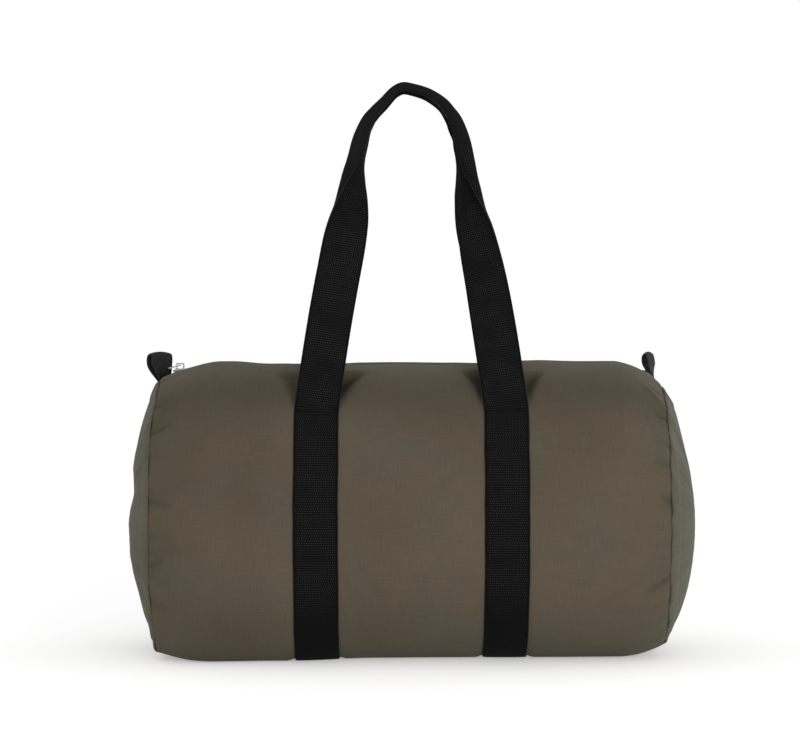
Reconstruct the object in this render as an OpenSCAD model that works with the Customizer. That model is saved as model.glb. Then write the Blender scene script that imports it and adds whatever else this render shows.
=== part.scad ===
// Barrel bag of heavy canvas with webbing straps, lying on its belly with both
// handles up. +X runs along the barrel, -Y is the front, +Z is up, and the
// origin lies on the ground below the middle of the bag.

/* [Body] */
// Distance between the two end seams
body_len = 440; // [300:5:600]
// Diameter over the straps
body_d = 262; // [200:2:360]
// How far the belly is pressed flat by its own weight
belly_press = 5; // [3:0.5:9]
// How far the zip line lies below the full round of the barrel
zip_dip = 9.2; // [6:0.2:12]
// Thickness of the canvas with its lining
cloth_t = 1.2; // [0.8:0.1:2]
// Length over which the barrel draws in to each end seam
shoulder_len = 35; // [25:1:50]
// How much the radius draws in at each end seam
shoulder_drop = 15.4; // [8:0.2:22]
// How far each end panel bulges past its seam
end_bulge = 26.5; // [10:0.5:40]
// Width of the binding over the raw edge of each end seam
binding_w = 9; // [6:0.5:12]
// Thickness of that binding
binding_t = 1.4; // [0.8:0.1:2]

/* [Straps] */
// Width of the webbing
webbing_w = 38; // [25:1:50]
// Thickness of the webbing
webbing_t = 1.6; // [1.2:0.1:2.4]
// Distance between the centre lines of the two straps
strap_spread = 161; // [120:1:220]
// Angle from the top of the barrel at which the webbing stops being sewn down
sewn_angle = 45; // [35:1:60]
// Length of the sewn webbing above that fold line
fold_tail = 4; // [2:0.5:8]
// Height of the arch of the handles above the fold line
handle_rise = 278.5; // [200:0.5:350]
// Distance of the folded crease of each handle from the middle plane at the arch
crease_y = 20; // [19:0.5:30]
// How much the round foot of each handle stands out past the webbing
foot_bead = 0.1; // [0.1:0.05:0.3]
// Width of a row of stitches
stitch_w = 0.8; // [0.5:0.1:1.2]
// Height of a row of stitches above what it holds
stitch_t = 0.2; // [0.1:0.05:0.4]
// Distance of a stitch row from the edge of what it holds
stitch_inset = 2.5; // [2:0.1:4]

/* [Zip] */
// Width of the slit between the two hems
slit_w = 12; // [11:0.5:16]
// Distance from each end seam to the end stops of the zip
zip_margin = 10.6; // [6:0.1:20]
// Distance from the right end seam to the stop where the open slider rests
open_margin = 31.2; // [28:0.1:120]
// Width of one zip tape, from the middle line outwards
tape_w = 15; // [12:0.5:18]
// Thickness of the zip tape
tape_t = 0.8; // [0.6:0.1:1]
// Radius of each row of coil
coil_r = 1.2; // [1:0.1:1.4]
// Gap between the two rows of coil
coil_gap = 1.8; // [1.7:0.1:2.4]
// Length of the slider
slider_len = 9; // [8:0.5:12]
// Width of the slider
slider_w = 9.4; // [9.2:0.1:10.4]
// Thickness of each slider plate
plate_t = 1.2; // [1:0.1:1.5]
// Distance from the hinge of the pull to its tip
pull_len = 12; // [10:0.5:13]
// Width of the pull
pull_w = 5; // [5:0.2:8]
// Angle by which the pull hangs below level
pull_droop = 15; // [10:1:16]

/* [Tabs] */
// Width of the tape of each end tab
tab_w = 25; // [15:1:30]
// Thickness of that tape
tab_t = 1.3; // [1:0.1:1.8]
// Height of the loop of each tab
tab_h = 23.5; // [16:0.5:32]

/* [Hidden] */
$fn = 180;

canvas_color = [0.36, 0.33, 0.27];
end_color = [0.39, 0.39, 0.33];
webbing_color = [0.11, 0.11, 0.11];
metal_color = [0.78, 0.78, 0.8];
thread_color = [0.16, 0.16, 0.16];
olive_thread_color = [0.3, 0.28, 0.22];
tape_color = [0.13, 0.13, 0.12];

// Overrun of every cut
cut = 1;
// Gap between pieces that move past one another
run_gap = 0.3;
// Gap between sewn pieces whose curved faces lie together
seat_gap = 0.2;

strap_r = body_d / 2;
cloth_r = strap_r - webbing_t;
axis_z = strap_r - belly_press;
seam_x = body_len / 2;
end_r = cloth_r - shoulder_drop;
shoulder_x = seam_x - shoulder_len;
shoulder_power_share = 2.5;
shoulder_steps = 7;
top_z = axis_z + strap_r - zip_dip;

// Radius of the canvas at a distance from the middle of the barrel
function barrel_r(x) = cloth_r - shoulder_drop
    * pow(max(0, (abs(x) - shoulder_x) / shoulder_len), shoulder_power_share);

// Places along one shoulder, from the straight part to the end seam
shoulder_places = [for (i = [0:shoulder_steps]) shoulder_x + shoulder_len * i / shoulder_steps];

// Turns a shape drawn about Z so that it lies about the barrel's own axis
module about_axis() {
    translate([0, 0, axis_z]) rotate([0, 90, 0]) children();
}

// The full round form of the canvas, drawn in by inset and longer by extra
module round_form(inset, extra) {
    right_side = [for (x = shoulder_places) [barrel_r(x) - inset, x]];
    left_side = [for (i = [shoulder_steps:-1:0])
        [barrel_r(shoulder_places[i]) - inset, -shoulder_places[i]]];
    ends = seam_x + extra;
    about_axis() rotate_extrude()
        polygon(concat([[0, -ends], [end_r - inset, -ends]], left_side, right_side,
            [[end_r - inset, ends], [0, ends]]));
}

// The round form cut flat at the belly and along the zip
module barrel_form(inset, extra) {
    low = webbing_t + inset;
    intersection() {
        round_form(inset, extra);
        translate([-body_len, -body_d, low]) cube([body_len * 2, body_d * 2, top_z - inset - low]);
    }
}

module barrel_panel() {
    color(canvas_color) difference() {
        barrel_form(0, 0);
        barrel_form(cloth_t, cut);
        translate([-body_len, -slit_w / 2, axis_z]) cube([body_len * 2, slit_w, body_d]);
    }
}

// A shallow cap of a sphere whose rim meets the end seam
cap_r = (end_r * end_r + end_bulge * end_bulge) / (2 * end_bulge);
module end_panel() {
    color(end_color) intersection() {
        translate([seam_x + end_bulge - cap_r, 0, axis_z]) difference() {
            sphere(cap_r);
            sphere(cap_r - cloth_t);
        }
        translate([seam_x, -body_d, 0]) cube([body_d, body_d * 2, body_d]);
    }
}

module end_binding() {
    ring_r = end_r - cloth_t - seat_gap;
    color(tape_color) translate([seam_x - binding_w - seat_gap, 0, 0]) about_axis() difference() {
        cylinder(h = binding_w, r = ring_r);
        translate([0, 0, -cut]) cylinder(h = binding_w + cut * 2, r = ring_r - binding_t);
    }
}

// Flat cross-section of the sewn webbing, seen along the barrel
module strap_wedge(angle) {
    reach = body_d;
    polygon([[0, 0], [-reach * sin(angle), reach * cos(angle)], [0, reach * 2],
        [reach * sin(angle), reach * cos(angle)]]);
}

// Webbing that runs from the front fold line under the belly to the back one
tail_angle = sewn_angle - fold_tail / strap_r * 180 / PI;
module sewn_strap() {
    color(webbing_color) translate([-webbing_w / 2, 0, 0]) difference() {
        intersection() {
            about_axis() cylinder(h = webbing_w, r = strap_r);
            translate([0, -body_d, 0]) cube([webbing_w, body_d * 2, body_d * 2]);
        }
        intersection() {
            translate([-cut, 0, 0]) about_axis() cylinder(h = webbing_w + cut * 2, r = cloth_r);
            translate([-cut, -body_d, webbing_t])
                cube([webbing_w + cut * 2, body_d * 2, body_d * 2]);
        }
        translate([-cut, 0, axis_z]) rotate([90, 0, 90])
            linear_extrude(webbing_w + cut * 2) strap_wedge(tail_angle);
    }
}

// A band on the outside of the sewn webbing, from one angle below the top to another
module strap_band(x, w, from_angle, to_angle) {
    translate([x - w / 2, 0, 0]) about_axis() rotate([0, 0, 180 - to_angle])
        rotate_extrude(angle = to_angle - from_angle)
            translate([strap_r, 0]) square([stitch_t, w]);
}

// Edge rows and the cross row at the fold line, on the front and the back
stitch_end_angle = 155;
module strap_stitching() {
    row_x = webbing_w / 2 - stitch_inset;
    top_angle = sewn_angle + stitch_inset * 2 / strap_r * 180 / PI;
    row_angle = stitch_w / strap_r * 180 / PI;
    color(thread_color) for (side = [0, 1]) mirror([0, side, 0]) {
        for (x = [-row_x, row_x]) strap_band(x, stitch_w, top_angle, stitch_end_angle);
        strap_band(0, row_x * 2 - stitch_w * 2, top_angle, top_angle + row_angle);
    }
}

// The handle's hinge line, just outside the sewn webbing
bead_r = webbing_t / 2 + foot_bead;
fold_r = strap_r + bead_r + run_gap;
fold_y = fold_r * sin(sewn_angle);
fold_z = axis_z + fold_r * cos(sewn_angle);

// Share of the half spread and of the rise, from the fold line to the arch
handle_shares = [
    [1, 0], [0.94, 0.12], [0.882, 0.233], [0.811, 0.355], [0.733, 0.481], [0.697, 0.56],
    [0.685, 0.64], [0.68, 0.7], [0.655, 0.765], [0.607, 0.829], [0.525, 0.888],
    [0.441, 0.921], [0.335, 0.951], [0.18, 0.985], [0, 1]
];
last_point = len(handle_shares) - 1;
// Share of the full fold at shares of the rise
fold_shares = [[0, 0], [0.5, 0], [0.56, 0.12], [0.64, 0.4], [0.7, 0.7], [0.765, 1], [1, 1]];
// Share of the lean towards the middle plane at shares of the rise
lean_shares = [[0, 0], [0.4, 0.54], [0.765, 0.97], [1, 1]];
// Turn of each quarter of the half that folds over, and of the half that stays, when folded
over_angles = [60, 140, 205, 205];
under_angles = [35, 50, 55, 55];
quarters = len(over_angles);
rings_per_step = 3;
half_rings = last_point * rings_per_step;

// Smooth curve through the listed shares, at a place counted in list steps
function curve(a, b, c, d, t) = b + (c - a) * t / 2
    + (a * 2 - b * 5 + c * 4 - d) * t * t / 2 + (b * 3 - a - c * 3 + d) * t * t * t / 2;
function mirrored_share(i) = i < 0 ? handle_shares[0] * 2 - handle_shares[-i]
    : i > last_point ? [-handle_shares[2 * last_point - i].x, handle_shares[2 * last_point - i].y]
    : handle_shares[i];
function path_share(s) = let (i = min(floor(s), last_point - 1))
    curve(mirrored_share(i - 1), mirrored_share(i), mirrored_share(i + 1),
        mirrored_share(i + 2), s - i);

// Crease line of the front handle on the +X side, and its outward direction
function crease_at(s) = let (p = path_share(s))
    [p.x * strap_spread / 2, -fold_y + (fold_y - crease_y) * lookup(p.y, lean_shares),
        fold_z + p.y * handle_rise];
function outward_at(s) = s <= 0 ? [1, 0, 0] : s >= last_point ? [0, 0, 1]
    : let (step_share = 0.02, d = crease_at(s + step_share) - crease_at(s - step_share),
        n = sqrt(d.x * d.x + d.z * d.z)) [d.z / n, 0, -d.x / n];

// Places across the webbing at a share of the fold, as [outward, forward]
function run(angles, fold, k) = k == 0 ? [0, 0]
    : run(angles, fold, k - 1) + webbing_w / 2 / quarters
        * [cos(angles[k - 1] * fold), sin(angles[k - 1] * fold)];
function across(fold) = concat(
    [for (k = [quarters:-1:1]) let (p = run(under_angles, fold, k)) [-p.x, -p.y]],
    [for (k = [0:quarters]) run(over_angles, fold, k)]);
function side_of(line, k) = let (a = line[max(k - 1, 0)], b = line[min(k + 1, len(line) - 1)],
    d = b - a) [-d.y, d.x] / norm(d);
// Closed outline of the webbing at a share of the fold
function outline(fold) = let (line = across(fold), n = len(line) - 1) concat(
    [for (k = [0:n]) line[k] + side_of(line, k) * webbing_t / 2],
    [for (k = [n:-1:0]) line[k] - side_of(line, k) * webbing_t / 2]);
function ring_at(s) = let (c = crease_at(s), out = outward_at(s),
    fold = lookup(path_share(s).y, fold_shares))
    [for (q = outline(fold)) c + out * q.x + [0, -q.y, 0]];

// Both legs and the arch as one swept webbing
module handle() {
    right_rings = [for (i = [0:half_rings]) ring_at(i / rings_per_step)];
    left_rings = [for (i = [half_rings - 1:-1:0]) [for (p = right_rings[i]) [-p.x, p.y, p.z]]];
    rings = concat(right_rings, left_rings);
    n = len(rings[0]);
    last = len(rings) - 1;
    half = n / 2;
    walls = [for (i = [0:last - 1], k = [0:n - 1]) let (a = i * n + k, b = i * n + (k + 1) % n)
        each k < half ? [[b + n, b, a], [a + n, b + n, a]] : [[a + n, b, a], [a + n, b + n, b]]];
    caps = [for (k = [0:half - 2]) each [
        [k + 1, n - 1 - k, k], [n - 2 - k, n - 1 - k, k + 1],
        [last * n + n - 1 - k, last * n + k + 1, last * n + k],
        [last * n + n - 1 - k, last * n + n - 2 - k, last * n + k + 1]]];
    color(webbing_color) {
        polyhedron([for (r = rings) each r], concat(walls, caps));
        for (side = [-1, 1])
            translate([side * strap_spread / 2 - webbing_w / 2 - foot_bead, -fold_y, fold_z])
                rotate([0, 90, 0]) cylinder(h = webbing_w + foot_bead * 2, r = bead_r);
    }
}

// Levels and ends of the zip
zip_reach = seam_x - zip_margin;
tape_z = top_z - cloth_t;
coil_y = coil_gap / 2 + coil_r;
stop_len = 1.6;
coil_x = zip_reach - stop_len;
tape_reach = zip_reach + stop_len * 2;
tape_end_share = 0.3;
wide_reach = zip_reach - tape_w * tape_end_share;
narrow_w = slit_w / 2 - run_gap * 3;

module zip_tape() {
    color(tape_color) {
        translate([-wide_reach, -tape_w, tape_z - tape_t])
            cube([wide_reach * 2, tape_w - coil_gap / 2, tape_t]);
        translate([-tape_reach, -narrow_w, tape_z - tape_t])
            cube([tape_reach * 2, narrow_w - coil_gap / 2, tape_t]);
    }
}

module zip_coil() {
    color(thread_color) intersection() {
        translate([-coil_x, -coil_y, tape_z]) rotate([0, 90, 0]) cylinder(h = coil_x * 2, r = coil_r);
        translate([-body_len, -body_d, tape_z]) cube([body_len * 2, body_d * 2, coil_r * 2]);
    }
}

module zip_top_stops() {
    color(metal_color) for (side = [0, 1]) mirror([0, side, 0])
        translate([-zip_reach, coil_gap / 2, tape_z]) cube([stop_len, coil_r * 2, stop_len]);
}

// Slider at its closed end, with the arch that carries the pull
slider_x = -(coil_x - run_gap - slider_len / 2);
slider_gap = 0.4;
plate_z = tape_z + coil_r + slider_gap;
plate_top = plate_z + plate_t;
low_plate_z = tape_z - tape_t - slider_gap - plate_t;
flange_w = 1;
post_len = 2.5;
arch_len = 7.2;
arch_w = 1.4;
arch_leg = 1.2;
arch_bar = 1;
pin_r = 0.7;
pull_lift = 2.9;
pull_z = plate_top + pull_lift;
arch_h = pull_lift + pin_r + run_gap + arch_bar;

module slider_plate(z) {
    translate([-slider_len / 2, -slider_w / 2, z]) cube([slider_len, slider_w, plate_t]);
}

module zip_slider() {
    post_w = coil_gap - slider_gap * 2;
    color(metal_color) translate([slider_x, 0, 0]) {
        slider_plate(plate_z);
        slider_plate(low_plate_z);
        translate([-slider_len / 2, -post_w / 2, low_plate_z])
            cube([post_len, post_w, plate_top - low_plate_z]);
        for (side = [0, 1]) mirror([0, side, 0])
            translate([-slider_len / 2, slider_w / 2 - flange_w, tape_z + slider_gap])
                cube([slider_len, flange_w, coil_r]);
        translate([-arch_len / 2, -arch_w / 2, plate_z]) difference() {
            cube([arch_len, arch_w, plate_t + arch_h]);
            translate([arch_leg, -cut, 0])
                cube([arch_len - arch_leg * 2, arch_w + cut * 2, plate_t + arch_h - arch_bar]);
        }
    }
}

// Staple across both rows of coil where the slider ends its travel
module zip_bottom_stop() {
    staple_w = coil_y * 2 + coil_r * 2;
    color(metal_color)
        translate([seam_x - open_margin, -staple_w / 2, tape_z + coil_r])
            cube([stop_len * 2, staple_w, stop_len]);
}

// Pull drawn towards -X with its pin on the hinge line, then let down
module zip_pull() {
    bar_t = 1.2;
    arm_w = (pull_w - arch_w) / 2 - run_gap * 2;
    arm_len = norm([arch_len / 2, arch_h - pull_lift]) + run_gap * 2;
    color(metal_color) translate([slider_x, 0, pull_z]) rotate([0, -pull_droop, 0]) {
        rotate([90, 0, 0]) translate([0, 0, -pull_w / 2]) cylinder(h = pull_w, r = pin_r);
        for (side = [0, 1]) mirror([0, side, 0])
            translate([-arm_len, pull_w / 2 - arm_w, -bar_t / 2]) cube([arm_len, arm_w, bar_t]);
        translate([-pull_len + pull_w / 2, -pull_w / 2, -bar_t / 2])
            cube([pull_len - arm_len - pull_w / 2, pull_w, bar_t]);
        translate([-pull_len + pull_w / 2, 0, -bar_t / 2]) cylinder(h = bar_t, r = pull_w / 2);
    }
}

// Two rows of thread along each hem of the zip
module zip_topstitching() {
    row_y = slit_w / 2 + stitch_inset;
    color(olive_thread_color) for (side = [0, 1]) mirror([0, side, 0])
        for (y = [row_y, row_y + stitch_inset * 2])
            translate([-wide_reach, y, top_z]) cube([wide_reach * 2, stitch_w, stitch_t]);
}

// Centre line of a tab's loop as shares of its height, from its foot round and back
left_tab_shares = [
    [0.02, 0], [0.09, 0.27], [0.17, 0.5], [0.26, 0.72], [0.29, 0.88], [0.2, 0.98], [0.04, 1],
    [-0.18, 0.99], [-0.38, 0.92], [-0.47, 0.78], [-0.43, 0.58], [-0.28, 0.33], [-0.02, 0]
];
right_tab_shares = [
    [0.02, 0], [0.01, 0.3], [-0.03, 0.58], [-0.06, 0.84], [-0.14, 0.97], [-0.27, 1],
    [-0.44, 0.96], [-0.56, 0.85], [-0.56, 0.7], [-0.44, 0.5], [-0.24, 0.26], [-0.02, 0]
];
tab_foot_r = tab_t;
tab_out_share = 0.8;
// Foot of each tab, just clear of the top of the end seam
tab_foot_x = seam_x + tab_foot_r * tab_out_share;
tab_foot_z = axis_z + end_r + tab_foot_r + run_gap;

// Tape of the given centre line shares, seen along its width
module tape_outline(shares) {
    line = [for (p = shares) p * tab_h];
    n = len(line) - 1;
    polygon(concat([for (k = [0:n]) line[k] + side_of(line, k) * tab_t / 2],
        [for (k = [n:-1:0]) line[k] - side_of(line, k) * tab_t / 2]));
}

module tab(shares) {
    rotate([90, 0, 0]) translate([0, 0, -tab_w / 2]) {
        linear_extrude(tab_w) tape_outline(shares);
        cylinder(h = tab_w, r = tab_foot_r);
    }
}

module left_tab() {
    color(webbing_color) translate([-tab_foot_x, 0, tab_foot_z]) tab(left_tab_shares);
}

module right_tab() {
    color(webbing_color) translate([tab_foot_x, 0, tab_foot_z]) tab(right_tab_shares);
}

barrel_panel();
mirror([1, 0, 0]) end_panel();  // left_end_panel
end_panel();  // right_end_panel
mirror([1, 0, 0]) end_binding();  // left_end_binding
end_binding();  // right_end_binding
zip_tape();  // front_zip_tape
mirror([0, 1, 0]) zip_tape();  // back_zip_tape
zip_coil();  // front_zip_coil
mirror([0, 1, 0]) zip_coil();  // back_zip_coil
zip_top_stops();
zip_bottom_stop();
zip_slider();
zip_pull();
left_tab();
right_tab();
translate([-strap_spread / 2, 0, 0]) sewn_strap();  // left_strap
translate([strap_spread / 2, 0, 0]) sewn_strap();  // right_strap
translate([-strap_spread / 2, 0, 0]) strap_stitching();  // left_strap_stitching
translate([strap_spread / 2, 0, 0]) strap_stitching();  // right_strap_stitching
zip_topstitching();
handle();  // front_handle
mirror([0, 1, 0]) handle();  // back_handle
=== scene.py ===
import math
import bmesh
import bpy
import numpy as np
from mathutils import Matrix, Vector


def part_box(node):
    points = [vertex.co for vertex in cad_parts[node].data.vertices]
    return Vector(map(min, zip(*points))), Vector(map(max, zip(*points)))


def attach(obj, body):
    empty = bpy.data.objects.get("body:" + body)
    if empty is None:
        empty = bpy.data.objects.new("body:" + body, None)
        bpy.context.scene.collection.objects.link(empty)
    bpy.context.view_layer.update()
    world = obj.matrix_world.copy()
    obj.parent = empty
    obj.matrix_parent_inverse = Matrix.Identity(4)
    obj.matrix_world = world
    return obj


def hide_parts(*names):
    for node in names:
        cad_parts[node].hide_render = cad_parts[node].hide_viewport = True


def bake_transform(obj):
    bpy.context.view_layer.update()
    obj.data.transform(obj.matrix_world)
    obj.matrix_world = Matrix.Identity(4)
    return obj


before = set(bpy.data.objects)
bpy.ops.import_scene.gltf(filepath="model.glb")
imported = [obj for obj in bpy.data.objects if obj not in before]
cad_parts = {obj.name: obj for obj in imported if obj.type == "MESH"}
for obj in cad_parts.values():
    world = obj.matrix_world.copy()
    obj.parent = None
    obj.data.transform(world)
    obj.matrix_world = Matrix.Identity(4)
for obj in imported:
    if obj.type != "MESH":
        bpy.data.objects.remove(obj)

for spare in ("Cube", "Light", "Camera"):  # what a new file holds already
    if spare in bpy.data.objects:
        bpy.data.objects.remove(bpy.data.objects[spare])
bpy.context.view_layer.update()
print("frame loaded")


# Small tools for meshes

def smooth(t):
    t = np.clip(t, 0, 1)
    return t * t * (3 - 2 * t)


def bump(distance, width):  # soft hill, 1 in the middle
    return np.exp(-(distance / width) ** 2)


def latticeNoise(u, v, cell, seed):  # smooth noise from -1 to 1, cell in metres
    size = 64
    grid = np.random.default_rng(seed).uniform(-1, 1, (size, size))
    fu, fv = u / cell[0], v / cell[1]
    iu, iv = np.floor(fu).astype(int), np.floor(fv).astype(int)
    tu, tv = smooth(fu - iu), smooth(fv - iv)
    corners = [[grid[(iu + i) % size, (iv + k) % size] for i in (0, 1)] for k in (0, 1)]
    near, far = (a * (1 - tu) + b * tu for a, b in corners)
    return near * (1 - tv) + far * tv


def unit(vectors):
    return vectors / np.maximum(np.linalg.norm(vectors, axis=-1, keepdims=True), 1e-12)


def newObject(name, data):
    piece = bpy.data.objects.new(name, data)
    bpy.context.scene.collection.objects.link(piece)
    return piece


def meshObject(name, points, faces, uvs, material):
    mesh = bpy.data.meshes.new(name)
    mesh.from_pydata(points.reshape(-1, 3).tolist(), [], faces)
    mesh.polygons.foreach_set("use_smooth", [True] * len(mesh.polygons))
    layer = mesh.uv_layers.new(name="cloth")
    corners = np.zeros(len(mesh.loops), dtype=np.int32)
    mesh.loops.foreach_get("vertex_index", corners)
    layer.data.foreach_set("uv", uvs.reshape(-1, 2)[corners].ravel())
    mesh.materials.append(material)
    mesh.validate()
    return newObject(name, mesh)


def paintShade(piece, values):  # painted shade on the cloth, from 0 to 1
    layer = piece.data.attributes.new("shade", "FLOAT", "POINT")
    layer.data.foreach_set("value", np.clip(values, 0, 1).astype(np.float32).ravel())


def joined(*rows):  # one array of places from separate coordinates
    return np.stack(np.broadcast_arrays(*rows), axis=-1)


def lengthAlong(path):  # distance of each place from the first one
    steps = np.linalg.norm(np.diff(path, axis=0), axis=1)
    return np.concatenate([[0], np.cumsum(steps)])


def smoothPath(keys, steps):  # curve through the listed places
    keys = np.array(keys, dtype=float)
    keys = np.concatenate([[2 * keys[0] - keys[1]], keys, [2 * keys[-1] - keys[-2]]])
    path = []
    for i in range(1, len(keys) - 2):
        b, c, d, e = keys[i - 1:i + 3]
        for t in np.arange(steps) / steps:
            path.append(c + (d - b) * t / 2 + (2 * b - 5 * c + 4 * d - e) * t * t / 2
                        + (3 * c - b - 3 * d + e) * t ** 3 / 2)
    path.append(keys[-2])
    return np.array(path)


def ringFaces(count, around, closed=True):  # faces that join each ring of points to the next
    span = around if closed else around - 1
    return [(start + k, start + (k + 1) % around, start + (k + 1) % around + around, start + k + around)
            for start in range(0, (count - 1) * around, around) for k in range(span)]


def loft(name, rings, uvs, material, caps=True, closed=True, turned=False):
    # rings is an array of rings by points
    count, around = rings.shape[:2]
    faces = ringFaces(count, around, closed)
    if caps and closed:
        faces.append(tuple(range(around))[::-1])
        faces.append(tuple((count - 1) * around + k for k in range(around)))
    if turned:
        faces = [face[::-1] for face in faces]
    return meshObject(name, rings, faces, uvs, material)


def joinEnds(piece):  # a ring whose last places lie on its first ones becomes one band
    shape = bmesh.new()
    shape.from_mesh(piece.data)
    bmesh.ops.remove_doubles(shape, verts=shape.verts[:], dist=0.000001)
    shape.to_mesh(piece.data)
    shape.free()
    return piece


def addModifier(piece, kind, **settings):
    modifier = piece.modifiers.new(kind.lower(), kind)
    for key, value in settings.items():
        setattr(modifier, key, value)


def tapeOutline(width, thick, columns):
    # places across and above a flat tape with rounded selvedges, once round
    half, r = width / 2, thick / 2
    flat = np.linspace(half - r, r - half, columns)
    arc = np.linspace(-90, 90, 7)[1:-1] * math.pi / 180
    across = np.concatenate([flat, -half + r - r * np.cos(arc), -flat, half - r + r * np.cos(arc)])
    above = np.concatenate([flat * 0 + r, -r * np.sin(arc), flat * 0 - r, r * np.sin(arc)])
    return across, above


# Finishes

def fill(tree, socket, value):  # with a plain value, or with a link from another node
    if isinstance(value, bpy.types.NodeSocket):
        tree.links.new(value, socket)
    else:
        socket.default_value = value


def add(tree, kind, **values):
    # small letters name a node's settings, capitals its inputs, and i0, i1 its inputs by number
    node = tree.nodes.new(kind)
    for key, value in values.items():
        if key[0] == "i" and key[1:].isdigit():
            fill(tree, node.inputs[int(key[1:])], value)
        elif key[0].islower():
            setattr(node, key, value)
        else:
            fill(tree, node.inputs[key], value)
    return node


def mathNode(tree, operation, a, b=0.0):
    return add(tree, "ShaderNodeMath", operation=operation, i0=a, i1=b).outputs[0]


def plus(tree, a, b):
    return mathNode(tree, "ADD", a, b)


def minus(tree, a, b):
    return mathNode(tree, "SUBTRACT", a, b)


def times(tree, a, b):
    return mathNode(tree, "MULTIPLY", a, b)


def cosine(tree, value, pitch):
    return mathNode(tree, "COSINE", times(tree, value, 2 * math.pi / pitch))


def ramp(tree, value, low, high):  # 0 below low, 1 above high
    node = add(tree, "ShaderNodeMapRange", interpolation_type="SMOOTHSTEP", Value=value, i1=low, i2=high)
    return node.outputs[0]


def blendColors(tree, share, a, b, way="MIX"):
    a, b = (v if isinstance(v, bpy.types.NodeSocket) else (*v, 1) for v in (a, b))
    return add(tree, "ShaderNodeMix", data_type="RGBA", blend_type=way, i0=share, i6=a, i7=b).outputs[2]


def varied(tree, share, color, low, high):  # from low to high times the colour
    return blendColors(tree, share, tuple(c * low for c in color), tuple(c * high for c in color))


def noiseNode(tree, place, scale, detail=2.0, rough=0.5):  # three scales stretch it along the cloth
    if isinstance(scale, tuple):
        place, scale = add(tree, "ShaderNodeMapping", Vector=place, Scale=scale).outputs[0], 1.0
    node = add(tree, "ShaderNodeTexNoise", Vector=place, Scale=scale, Detail=detail, Roughness=rough)
    return node.outputs["Fac"]


def waveNode(tree, place, direction, pitch):  # even bands, pitch in metres
    node = add(tree, "ShaderNodeTexWave", bands_direction=direction, Vector=place,
               Scale=math.pi / 10 / pitch, Distortion=0.0)
    return node.outputs["Fac"]


def newMaterial(name):
    material = bpy.data.materials.new(name)
    material.use_nodes = True
    tree = material.node_tree
    return material, tree, add(tree, "ShaderNodeTexCoord").outputs


def dress(tree, color, height, depth, strength, rough, specular, **more):
    # joins colour and relief to the material's shader
    shader = tree.nodes["Principled BSDF"]
    relief = add(tree, "ShaderNodeBump", Height=height, Distance=depth, Strength=strength).outputs[0]
    plain = {"Base Color": color, "Normal": relief, "Roughness": rough, "Specular IOR Level": specular}
    for key, value in {**plain, **more}.items():
        fill(tree, shader.inputs[key], value)


canvas = {
    "deep": (0.112, 0.0865, 0.059),
    "tone": (0.131, 0.102, 0.0705),
    "olive": (0.108, 0.099, 0.071),
    # paler tone of the end panels: painted light on the sideways-facing ends
    "litEndTone": (0.142, 0.127, 0.093),
    "valley": (0.024, 0.0185, 0.0115),   # painted shade colour, where the shade attribute is 1
    "paleSlub": (0.19, 0.17, 0.13),
    "darkSlub": (0.05, 0.04, 0.028),
    "threadPitch": 0.0006,
    "slubLong": 0.0030,
    "slubThick": 0.0007,
    "sheen": 0.155,        # nap of the cloth, paler at a flat angle
    "sheenTint": (0.73, 0.84, 0.71, 1),
}


def slubs(tree, cloth, long, thick, seed):  # rare short thick places in the yarn
    moved = add(tree, "ShaderNodeMapping", Vector=cloth, Location=(seed, seed, 0),
                Scale=(1 / long, 1 / thick, 1)).outputs[0]
    cell = add(tree, "ShaderNodeTexVoronoi", voronoi_dimensions="2D", Vector=moved, Scale=1.0)
    picked = add(tree, "ShaderNodeSeparateXYZ", Vector=cell.outputs["Color"]).outputs[0]
    near = minus(tree, 1.0, ramp(tree, cell.outputs["Distance"], 0.1, 0.45))
    return times(tree, near, mathNode(tree, "GREATER_THAN", picked, 0.988))


def canvasMaterial(name, deep, tone):
    material, tree, place = newMaterial(name)
    cloth = place["UV"]
    blotch = noiseNode(tree, place["Object"], 9.0)
    color = blendColors(tree, ramp(tree, blotch, 0.3, 0.7), deep, tone)
    hue = ramp(tree, noiseNode(tree, place["Object"], 23.0, 3.0, 0.6), 0.42, 0.72)
    color = blendColors(tree, times(tree, hue, 0.6), color, canvas["olive"])
    # single threads lie a little darker or lighter, along and across the cloth
    along = noiseNode(tree, cloth, (60, 1900, 1), 1.0)
    across = noiseNode(tree, cloth, (1900, 60, 1), 1.0)
    threads = plus(tree, along, across)
    grain = blendColors(tree, ramp(tree, threads, 0.6, 1.4), (0.9,) * 3, (1.1,) * 3)
    color = blendColors(tree, 1.0, color, grain, "MULTIPLY")
    pale = slubs(tree, cloth, canvas["slubLong"], canvas["slubThick"], 0.3)
    dark = slubs(tree, cloth, canvas["slubThick"], canvas["slubLong"], 0.7)
    color = blendColors(tree, times(tree, pale, 0.3), color, canvas["paleSlub"])
    color = blendColors(tree, times(tree, dark, 0.3), color, canvas["darkSlub"])
    # painted shade from the shade attribute darkens the colour and takes away the sheen
    shade = add(tree, "ShaderNodeAttribute", attribute_name="shade").outputs["Fac"]
    color = blendColors(tree, shade, color, canvas["valley"])
    pitch = canvas["threadPitch"]
    weave = times(tree, waveNode(tree, cloth, "X", pitch), waveNode(tree, cloth, "Y", pitch))
    height = plus(tree, times(tree, weave, 0.6), times(tree, threads, 0.4))
    height = plus(tree, height, plus(tree, pale, dark))
    sheen = times(tree, minus(tree, 1.0, shade), canvas["sheen"])
    dress(tree, color, height, depth=0.00012, strength=0.6, rough=0.95, specular=0.12,
          **{"Sheen Weight": sheen, "Sheen Roughness": 0.55, "Sheen Tint": canvas["sheenTint"]})
    return material


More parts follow.
